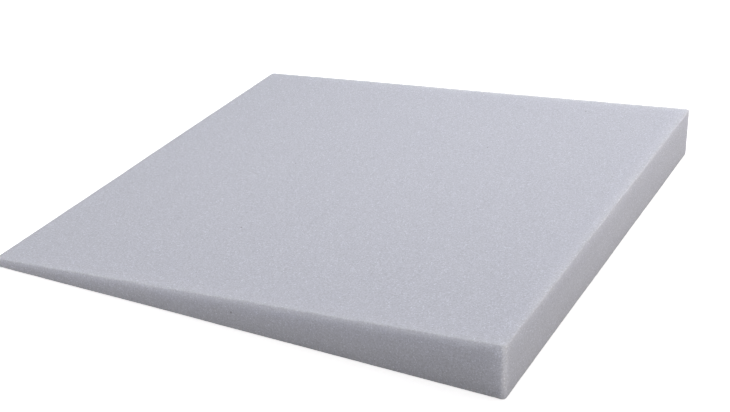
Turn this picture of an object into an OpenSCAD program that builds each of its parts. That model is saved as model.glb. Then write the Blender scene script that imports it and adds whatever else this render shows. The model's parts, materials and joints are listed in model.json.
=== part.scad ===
// Tapered acoustic foam panel: one square piece of soft open-cell foam, cut
// flat on every side and sliced on a slant, so that it runs from a thick edge
// down to a thin one. It lies on its large flat face.
//
// X runs along the taper, from the thin edge to the thick one, Y across the
// panel, and Z up. The origin is the middle of the base, on the surface that
// the panel lies on.

/* [Panel] */
// Length along the taper, from the thin edge to the thick edge
panel_length = 600; // [200:10:1200]
// Width across the taper
panel_width = 600; // [200:10:1200]
// Height of the thick edge, up to the line of the slanted face
thick_edge = 60; // [24:1:150]
// Height of the thin edge, up to the line of the slanted face
thin_edge = 10; // [6:0.5:20]

/* [Cut] */
// Radius that the four upright corners are worn to, seen from above
corner_round = 5; // [3:0.5:8]
// Radius that the knife-cut edges of the two large faces relax to
edge_round = 1.5; // [0.5:0.25:2.75]

/* [Hidden] */
foam_grey = [0.74, 0.75, 0.79];

// The slant of the upper face, as a rise per length
taper = (thick_edge - thin_edge) / panel_length;
function slant_height(x) = thin_edge + (x + panel_length / 2) * taper;

// Centres of the upright corners
corner_x = panel_length / 2 - corner_round;
corner_y = panel_width / 2 - corner_round;

// A flat disc with a round rim: the form of a corner at the base. The
// intersection keeps the profile on one side of the axis it turns about.
module round_disc() {
    core = corner_round - edge_round;
    rotate_extrude()
        intersection() {
            hull()
                for (x = [-core, core])
                    translate([x, 0])
                        circle(edge_round);
            translate([0, -edge_round])
                square([corner_round, 2 * edge_round]);
        }
}

// The same disc leaned to lie along the slanted face, its outline from above kept
module leaned_disc() {
    multmatrix([
        [1, 0, 0, 0],
        [0, 1, 0, 0],
        [taper, 0, 1, 0]
    ])
        round_disc();
}

module foam_panel() {
    color(foam_grey)
        hull()
            for (x = [-corner_x, corner_x], y = [-corner_y, corner_y]) {
                translate([x, y, edge_round])
                    round_disc($fn = 32);
                translate([x, y, slant_height(x) - edge_round])
                    leaned_disc($fn = 32);
            }
}

foam_panel();
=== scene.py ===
"""Looks of a tapered acoustic foam panel: one soft wedge of light grey open-cell foam."""

import json
import math

import bpy
import numpy as np
from mathutils import Matrix, Vector, noise

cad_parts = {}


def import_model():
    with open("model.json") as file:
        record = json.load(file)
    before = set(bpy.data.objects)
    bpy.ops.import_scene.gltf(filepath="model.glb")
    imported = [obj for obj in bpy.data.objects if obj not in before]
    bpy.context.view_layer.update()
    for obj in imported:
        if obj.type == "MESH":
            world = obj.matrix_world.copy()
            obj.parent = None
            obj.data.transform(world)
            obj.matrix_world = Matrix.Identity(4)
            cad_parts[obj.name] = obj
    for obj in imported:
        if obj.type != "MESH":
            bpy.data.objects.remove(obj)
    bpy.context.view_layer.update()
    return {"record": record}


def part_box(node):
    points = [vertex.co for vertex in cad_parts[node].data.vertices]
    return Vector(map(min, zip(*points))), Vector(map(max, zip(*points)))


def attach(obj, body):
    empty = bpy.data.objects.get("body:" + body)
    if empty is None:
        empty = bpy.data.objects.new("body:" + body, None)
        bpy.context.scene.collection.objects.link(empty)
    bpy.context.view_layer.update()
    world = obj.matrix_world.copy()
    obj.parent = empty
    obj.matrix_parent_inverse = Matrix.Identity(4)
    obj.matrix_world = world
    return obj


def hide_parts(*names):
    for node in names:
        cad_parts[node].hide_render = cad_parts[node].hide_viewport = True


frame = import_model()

MM = 0.001

# ---- Sizes, in metres ----
LOW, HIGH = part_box("foam_panel")
LENGTH = HIGH.x - LOW.x
WIDTH = HIGH.y - LOW.y
CORNER_ROUND = 5 * MM  # upright corners, seen from above
EDGE_ROUND = 1.5 * MM  # edges of the two large faces
SLANT = next(m for m in frame["record"]["mounts"] if m["name"] == "slanted_face")
SLANT_POINT = Vector(SLANT["pos_m"])
SLANT_NORMAL = Vector(SLANT["axis"])

# ---- Mesh ----
FACE_STEP = 3.4 * MM  # between grid lines in the middle of a face
EDGE_STEP = 0.8 * MM  # between grid lines beside a rounded edge
STEP_GROWTH = 1.45  # from one grid line to the next, up to FACE_STEP
RIM_STEPS = 2  # across the flat strip between a corner's centre and its edge
ARC_STEPS = 3  # from a flat face to the middle of its rounded edge

# ---- Surface of the cut, as (wavelength, height) of each layer of noise ----
CUT_WAVES = ((140 * MM, 0.35 * MM), (26 * MM, 0.12 * MM), (5 * MM, 0.1 * MM))
WAVE_SHIFT = 0.31  # along X from one layer's noise to the next, for each mm of wavelength
NOISE_Y, NOISE_Z = 7.7, 3.1  # where in the noise the layers are taken

# ---- Camera, with its angles in degrees ----
IMAGE_WIDTH = 730  # pixels
SENSOR_WIDTH = 36.0  # mm
CAMERA_AZIMUTH = 27.67
CAMERA_ELEVATION = 26.93
CAMERA_ROLL = -1.259
CAMERA_DISTANCE = 2.8225 * LENGTH
CAMERA_TARGET = Vector((0.0019 * LENGTH, 0, 0))
CAMERA_CLIP = (0.05, 100)
FOCAL_PIXELS = 1442.0  # focal length, in pixels of the image


def srgb(r, g, b):
    """Linear RGB of an 8-bit sRGB colour."""
    def linear(c):
        c /= 255
        return c / 12.92 if c <= 0.04045 else ((c + 0.055) / 1.055) ** 2.4
    return linear(r), linear(g), linear(b)


# ---- Foam ----
FOAM_GREY = srgb(191, 193, 203)
FOAM_ROUGHNESS = 0.95
FOAM_SPECULAR = 0.2
SCATTER = 32 * MM  # how far light spreads inside the foam
BASE_SCATTER = 5 * MM  # the same at the base, which keeps the foot of each face darker
BASE_REACH = 25 * MM  # height at which the spread is full
CELL = 0.75 * MM  # from one cell to the next
STRUT_SPAN = (0.1, 0.75)  # distances from a cell's middle between which its wall rises, in cells
STRUT_MEAN = 0.6  # of that rise, over a whole cell
HOLLOW_SHADE = 0.16  # painted shade, from the struts round a cell to the middle of its hollow
STRUT_HEIGHT = 0.2 * MM  # of the bump
BUMP_STRENGTH = 0.2
CELL_LIGHTNESS = 0.14  # from the darkest cell to the lightest
GRAIN = 1.9 * MM  # across a patch of like cells
GRAIN_LIGHTNESS = 0.17  # from such a patch to the mean
PAINTED_GLINT = 0.38  # painted glint: lightness added to the few cells whose window faces the light
PAINTED_GLINT_SHARE = 0.04  # of all cells, that take the painted glint
PINHOLE_SPACING = 44 * MM  # between the few large voids in the foam
PINHOLE_RADIUS = 1.6 * MM
PINHOLE_CORE = 0.4  # share of its radius that is fully dark
PINHOLE_SHADE = 0.5  # share of the light that a pinhole swallows
# Painted light that each kind of edge adds to its foam (painted shade, below 0), and how far in it
# reaches
# painted highlight on the upright corners
CORNER_HIGHLIGHT = (0.2, 1.0 * MM)
# painted light spreading from the upright corners
CORNER_PAINTED_LIGHT = (0.1, 4 * MM)
# painted shade along the top's edges at both ends
END_EDGE_SHADE = (-0.2, 2.0 * MM)
# painted shade along the top's edges at the sides
SIDE_EDGE_SHADE = (-0.16, 1.3 * MM)
# painted light beside the top's side edges
SIDE_PAINTED_LIGHT = (0.04, 5 * MM)
# painted light along the foot of each face, against the shade there by the floor
BASE_PAINTED_LIGHT = (0.04, 4 * MM)

# ---- Light, as (name, place, side, power in watts, tint) of each lamp ----
WORLD_STRENGTH = 0.0  # of the light from all round; what the camera sees there is white
LAMPS = (
    ("top_light", (0, 0, 1.3), 0.8, 4.7, (0.995, 1, 1.03)),
    ("back_light", (0, 1.8, 2.4), 2.0, 53.5, (0.995, 1, 1.03)),
    ("right_light", (1.6, 0.6, 0.9), 1.0, 8.9, (1.04, 1, 0.97)),
    ("side_light", (6.3, -2.3, 2.0), 2.5, 35.5, (1.14, 1, 0.86)),
    ("front_light", (0.1, -2.5, 1.5), 1.5, 14.6, (1.02, 1, 0.97)),
    ("left_light", (-0.9, -0.9, 0.4), 0.5, 1.8, (1.04, 1, 0.99)),
)

# ---- Floor ----
WHITE = (1, 1, 1, 1)
FLOOR_SIDE = 30.0
FLOOR_GAP = 0.2 * MM
FLOOR_ALBEDO = 0.8
FLOOR_LIFT = 0.7  # glow that the camera sees near the panel, where the lamps reach
FLOOR_FADE = (1.5, 4.0)  # distances between which the glow rises to full white


# ---- Mesh of the wedge ----
def spaced(low, high, unit=1):
    """Places from low to high, closer together at both ends, where one unit is that many metres."""
    half = (high - low) / 2
    reach, step = 0, EDGE_STEP / unit
    edge = [reach]
    while step < FACE_STEP / unit and reach + step < half:
        reach += step
        edge.append(reach)
        step *= STEP_GROWTH
    count = max(1, round(2 * (half - reach) * unit / FACE_STEP))
    middle = [reach + 2 * (half - reach) * k / count for k in range(1, count)]
    return [low + e for e in edge + middle] + [high - e for e in reversed(edge)]


def ticks(low, high, rim_steps=0, unit=1):
    """Grid lines along one axis, in three parts: the place between the centres of the end arcs, how
    far along the flat strip beyond it (-1 to 1), and how far round the arc after that (-1 to 1)."""
    inner = spaced(low, high, unit)
    painted_edge_light_and_shade = [k / rim_steps for k in range(1, rim_steps + 1)]
    arcs = [math.tan(k / ARC_STEPS * math.pi / 4) for k in range(1, ARC_STEPS + 1)]
    rim = painted_edge_light_and_shade + [1] * ARC_STEPS
    arc = [0] * rim_steps + arcs
    core = [low] * len(rim) + inner + [high] * len(rim)
    rim = [-r for r in reversed(rim)] + [0] * len(inner) + rim
    arc = [-a for a in reversed(arc)] + [0] * len(inner) + arc
    return np.array(core), np.array(rim), np.array(arc)


def slant_height(x):
    """Height of the slanted face over a place along the panel."""
    return SLANT_POINT.z - (x - SLANT_POINT.x) * SLANT_NORMAL.x / SLANT_NORMAL.z


def lattice_shell(shape):
    """Indices (i, j, k) of the points on a lattice's outside, and outward quads over them."""
    quads = []
    for axis in range(3):
        a, b = (axis + 1) % 3, (axis + 2) % 3
        ia, ib = np.meshgrid(np.arange(shape[a] - 1), np.arange(shape[b] - 1), indexing="ij")
        for side in (0, shape[axis] - 1):
            corners = []
            for da, db in ((0, 0), (1, 0), (1, 1), (0, 1)):
                index = np.zeros(ia.shape + (3,), int)
                index[..., axis] = side
                index[..., a] = ia + da
                index[..., b] = ib + db
                corners.append(np.ravel_multi_index(np.moveaxis(index, -1, 0), shape))
            quad = np.stack(corners, -1).reshape(-1, 4)
            quads.append(quad if side else quad[:, ::-1])
    used, faces = np.unique(np.concatenate(quads), return_inverse=True)
    return np.unravel_index(used, shape), faces.reshape(-1, 4)


def wedge_grid():
    """Points and faces of the panel as one closed grid with rounded edges."""
    half_length = LENGTH / 2 - CORNER_ROUND
    half_width = WIDTH / 2 - CORNER_ROUND
    core_x, rim_x, arc_x = ticks(-half_length, half_length, RIM_STEPS)
    core_y, rim_y, arc_y = ticks(-half_width, half_width, RIM_STEPS)
    level, _, arc_z = ticks(0, 1, unit=slant_height(half_length))
    (i, j, k), faces = lattice_shell((len(core_x), len(core_y), len(level)))

    # Around an edge, level and upright parts of the way from the arc's centre to the point
    across = np.maximum(np.abs(arc_x[i]), np.abs(arc_y[j]))
    rise = arc_z[k]
    length = np.hypot(across, rise).clip(min=1e-9)
    across, rise = EDGE_ROUND * across / length, EDGE_ROUND * rise / length

    # In plan, from a corner's centre: over the flat strip, then round the edge
    strip = np.maximum(np.abs(rim_x[i]), np.abs(rim_y[j]))
    outwards = strip * (CORNER_ROUND - EDGE_ROUND) + across
    way_x, way_y = rim_x[i] + arc_x[i], rim_y[j] + arc_y[j]
    length = np.hypot(way_x, way_y).clip(min=1e-9)
    x = core_x[i] + outwards * way_x / length
    y = core_y[j] + outwards * way_y / length
    top = slant_height(x) - EDGE_ROUND
    z = EDGE_ROUND + level[k] * (top - EDGE_ROUND) + rise
    return np.stack((x, y, z), 1), faces


def cut_height(point):
    """How far the cut strays outwards from its true face at a point."""
    return sum(
        height * noise.noise(point / wave + Vector((WAVE_SHIFT * wave / MM, NOISE_Y, NOISE_Z)))
        for wave, height in CUT_WAVES
    )


def foam_panel_mesh():
    """The wedge with its cut faces uneven, and nothing of it under its base plane."""
    points, faces = wedge_grid()
    mesh = bpy.data.meshes.new("foam_body")
    mesh.from_pydata(points.tolist(), [], faces.tolist())
    normals = np.array([n.vector for n in mesh.vertex_normals])
    strays = np.array([cut_height(Vector(p)) for p in points])
    points = points + normals * strays[:, None]
    points[:, 2] = points[:, 2].clip(min=0)
    mesh.vertices.foreach_set("co", points.ravel())
    mesh.shade_smooth()
    mesh.update()
    return mesh


# ---- Materials ----
class Tree:
    """A short way to write the nodes of a material or a world."""

    def __init__(self, owner, output):
        owner.use_nodes = True
        self.owner = owner
        self.tree = owner.node_tree
        self.tree.nodes.clear()
        self.output = self.node(output)

    def node(self, kind, inputs=None, **settings):
        made = self.tree.nodes.new(kind)
        for name, value in settings.items():
            setattr(made, name, value)
        for name, value in (inputs or {}).items():
            self.feed(made.inputs[name], value)
        return made

    def feed(self, socket, value):
        if isinstance(value, bpy.types.NodeSocket):
            self.tree.links.new(value, socket)
        else:
            socket.default_value = value

    def maths(self, operation, *values):
        made = self.node("ShaderNodeMath", operation=operation)
        for socket, value in zip(made.inputs, values):
            self.feed(socket, value)
        return made.outputs[0]

    def vectors(self, operation, *values):
        made = self.node("ShaderNodeVectorMath", operation=operation)
        for socket, value in zip(made.inputs, values):
            self.feed(socket, value)
        return made

    def surface(self, shader):
        self.feed(self.output.inputs["Surface"], shader.outputs[0])
        return self.owner


def material_tree(name):
    return Tree(bpy.data.materials.new(name), "ShaderNodeOutputMaterial")


def cells(t, place):
    """Lightness and height of the cut cells at a place; the lightness holds painted shade in the
    cells' hollows and painted glints.
    """
    voronoi = t.node("ShaderNodeTexVoronoi", {"Vector": place, "Scale": 1 / CELL}, feature="F1")
    low, high = STRUT_SPAN
    strut = t.node(
        "ShaderNodeMapRange",
        {"Value": voronoi.outputs["Distance"], "From Min": low, "From Max": high},
        interpolation_type="SMOOTHSTEP",
    ).outputs[0]
    chance = t.node("ShaderNodeSeparateColor", {"Color": voronoi.outputs["Color"]}).outputs
    # painted glint on a few cells, in place of light caught by their windows
    painted_glint = t.maths("GREATER_THAN", chance["Green"], 1 - PAINTED_GLINT_SHARE)
    darkest = 1 - STRUT_MEAN * HOLLOW_SHADE - CELL_LIGHTNESS / 2
    # darker towards each cell's middle: painted shade in its hollow
    lightness = t.maths("MULTIPLY_ADD", strut, HOLLOW_SHADE, darkest)
    lightness = t.maths("MULTIPLY_ADD", chance["Red"], CELL_LIGHTNESS, lightness)
    lightness = t.maths("MULTIPLY_ADD", painted_glint, PAINTED_GLINT, lightness)
    patches = {"Vector": place, "Scale": 1 / GRAIN, "Detail": 0.0}
    grain = t.node("ShaderNodeTexNoise", patches, normalize=False).outputs[0]
    lightness = t.maths("MULTIPLY_ADD", grain, GRAIN_LIGHTNESS, lightness)
    return lightness, strut


def pinholes(t, place):
    """Lightness at a place, with painted shade where the cut has opened a large void."""
    voids = {"Vector": place, "Scale": 1 / PINHOLE_SPACING}
    voronoi = t.node("ShaderNodeTexVoronoi", voids, feature="F1")
    radius = PINHOLE_RADIUS / PINHOLE_SPACING
    return t.node(
        "ShaderNodeMapRange",
        {
            "Value": voronoi.outputs["Distance"],
            "From Min": PINHOLE_CORE * radius,
            "From Max": radius,
            "To Min": 1 - PINHOLE_SHADE,
        },
        interpolation_type="SMOOTHSTEP",
    ).outputs[0]


def painted_edge_light_and_shade(t, place):
    """Factor on the foam's lightness at a place, from its distances to the edges: painted light and
    painted shade along them.
    """
    x, y, z = t.node("ShaderNodeSeparateXYZ", {"Vector": place}).outputs
    to_end = t.maths("SUBTRACT", LENGTH / 2, t.maths("ABSOLUTE", x))
    to_side = t.maths("SUBTRACT", WIDTH / 2, t.maths("ABSOLUTE", y))
    to_wall = t.maths("MINIMUM", to_end, to_side)
    below = t.vectors("SUBTRACT", SLANT_POINT, place).outputs[0]
    to_cut = t.vectors("DOT_PRODUCT", below, SLANT_NORMAL).outputs["Value"]
    # The two distances' sum in the middle of a worn corner
    corner_gap = CORNER_ROUND * (2 - math.sqrt(2))
    lightness = 1.0
    # each kind of edge: painted light, or painted shade below 0, that fades with distance from it
    for (share, reach), a, b, gap in (
        (CORNER_HIGHLIGHT, to_end, to_side, corner_gap),
        (CORNER_PAINTED_LIGHT, to_end, to_side, corner_gap),
        (END_EDGE_SHADE, to_end, to_cut, 0),
        (SIDE_EDGE_SHADE, to_side, to_cut, 0),
        (SIDE_PAINTED_LIGHT, to_side, to_cut, 0),
        (BASE_PAINTED_LIGHT, to_wall, z, 0),
    ):
        away = t.maths("DIVIDE", t.maths("SUBTRACT", t.maths("ADD", a, b), gap), -reach)
        near = t.maths("POWER", math.e, away)
        lightness = t.maths("MULTIPLY_ADD", near, share, lightness)
    return lightness


def foam_material():
    t = material_tree("foam")
    place = t.node("ShaderNodeTexCoord").outputs["Object"]
    lightness, height = cells(t, place)
    # painted light and painted shade along the edges
    shade = t.maths("MULTIPLY", lightness, painted_edge_light_and_shade(t, place))
    # painted shade in the pinholes
    shade = t.maths("MULTIPLY", shade, pinholes(t, place))
    colour = t.vectors("SCALE", FOAM_GREY)
    t.feed(colour.inputs["Scale"], shade)
    bump = t.node(
        "ShaderNodeBump",
        {"Strength": BUMP_STRENGTH, "Distance": STRUT_HEIGHT, "Height": height},
    )
    z = t.node("ShaderNodeSeparateXYZ", {"Vector": place}).outputs["Z"]
    scatter = t.node(
        "ShaderNodeMapRange",
        {"Value": z, "From Max": BASE_REACH, "To Min": BASE_SCATTER, "To Max": SCATTER},
    ).outputs[0]
    foam = t.node(
        "ShaderNodeBsdfPrincipled",
        {
            "Base Color": colour.outputs[0],
            "Roughness": FOAM_ROUGHNESS,
            "Specular IOR Level": FOAM_SPECULAR,
            "Subsurface Weight": 1.0,
            "Subsurface Radius": (1.0, 1.0, 1.0),
            "Subsurface Scale": scatter,
            "Normal": bump.outputs[0],
        },
    )
    return t.surface(foam)


def foam_panel():
    panel = bpy.data.objects.new("foam_body", foam_panel_mesh())
    bpy.context.scene.collection.objects.link(panel)
    panel.data.materials.append(foam_material())
    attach(panel, "root")
    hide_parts("foam_panel")


# ---- Stage, light and camera ----
def seen_directly(t):
    """1 for what the camera sees, also in metal or through glass, and 0 for light on the object."""
    path = t.node("ShaderNodeLightPath").outputs
    return t.maths(
        "MAXIMUM",
        path["Is Camera Ray"],
        t.maths("MAXIMUM", path["Is Glossy Ray"], path["Is Transmission Ray"]),
    )


def floor_material():
    t = material_tree("floor")
    diffuse = t.node("ShaderNodeBsdfDiffuse", {"Color": (FLOOR_ALBEDO,) * 3 + (1,)})
    place = t.node("ShaderNodeTexCoord").outputs["Object"]
    away = t.vectors("LENGTH", place).outputs["Value"]
    near, far = FLOOR_FADE
    rise = t.node(
        "ShaderNodeMapRange",
        {"Value": away, "From Min": near, "From Max": far, "To Min": FLOOR_LIFT},
    ).outputs[0]
    lift = t.maths("MULTIPLY", seen_directly(t), rise)
    glow = t.node("ShaderNodeEmission", {"Color": WHITE, "Strength": lift})
    both = t.node("ShaderNodeAddShader", {0: diffuse.outputs[0], 1: glow.outputs[0]})
    return t.surface(both)


def floor():
    half = FLOOR_SIDE / 2
    corners = [(-half, -half), (half, -half), (half, half), (-half, half)]
    mesh = bpy.data.meshes.new("floor")
    mesh.from_pydata([(x, y, -FLOOR_GAP) for x, y in corners], [], [(0, 1, 2, 3)])
    mesh.materials.append(floor_material())
    obj = bpy.data.objects.new("floor", mesh)
    bpy.context.scene.collection.objects.link(obj)


def world():
    t = Tree(bpy.data.worlds.new("studio"), "ShaderNodeOutputWorld")
    level = {"Value": seen_directly(t), "To Min": WORLD_STRENGTH}
    strength = t.node("ShaderNodeMapRange", level).outputs[0]
    back = t.node("ShaderNodeBackground", {"Color": WHITE, "Strength": strength})
    bpy.context.scene.world = t.surface(back)


def softbox(name, place, side, power, colour):
    """A square lamp that faces the middle of the panel's base."""
    lamp = bpy.data.lights.new(name, "AREA")
    lamp.shape = "SQUARE"
    lamp.size = side
    lamp.energy = power
    lamp.color = colour
    obj = bpy.data.objects.new(name, lamp)
    obj.location = place
    obj.rotation_euler = (-Vector(place)).to_track_quat("-Z", "Y").to_euler()
    bpy.context.scene.collection.objects.link(obj)


def camera():
    azimuth, elevation = math.radians(CAMERA_AZIMUTH), math.radians(CAMERA_ELEVATION)
    out = math.cos(elevation)
    back = Vector((math.sin(azimuth) * out, -math.cos(azimuth) * out, math.sin(elevation)))
    turn = (-back).to_track_quat("-Z", "Y").to_matrix()
    roll = Matrix.Rotation(math.radians(CAMERA_ROLL), 3, "Z")
    data = bpy.data.cameras.new("camera")
    data.sensor_width = SENSOR_WIDTH
    data.lens = FOCAL_PIXELS * SENSOR_WIDTH / IMAGE_WIDTH
    data.clip_start, data.clip_end = CAMERA_CLIP
    obj = bpy.data.objects.new("camera", data)
    obj.location = CAMERA_TARGET + back * CAMERA_DISTANCE
    obj.rotation_euler = (turn @ roll).to_euler()
    bpy.context.scene.collection.objects.link(obj)
    bpy.context.scene.camera = obj


foam_panel()
floor()
world()
for lamp in LAMPS:
    softbox(*lamp)
camera()
bpy.context.scene.view_settings.view_transform = "Standard"
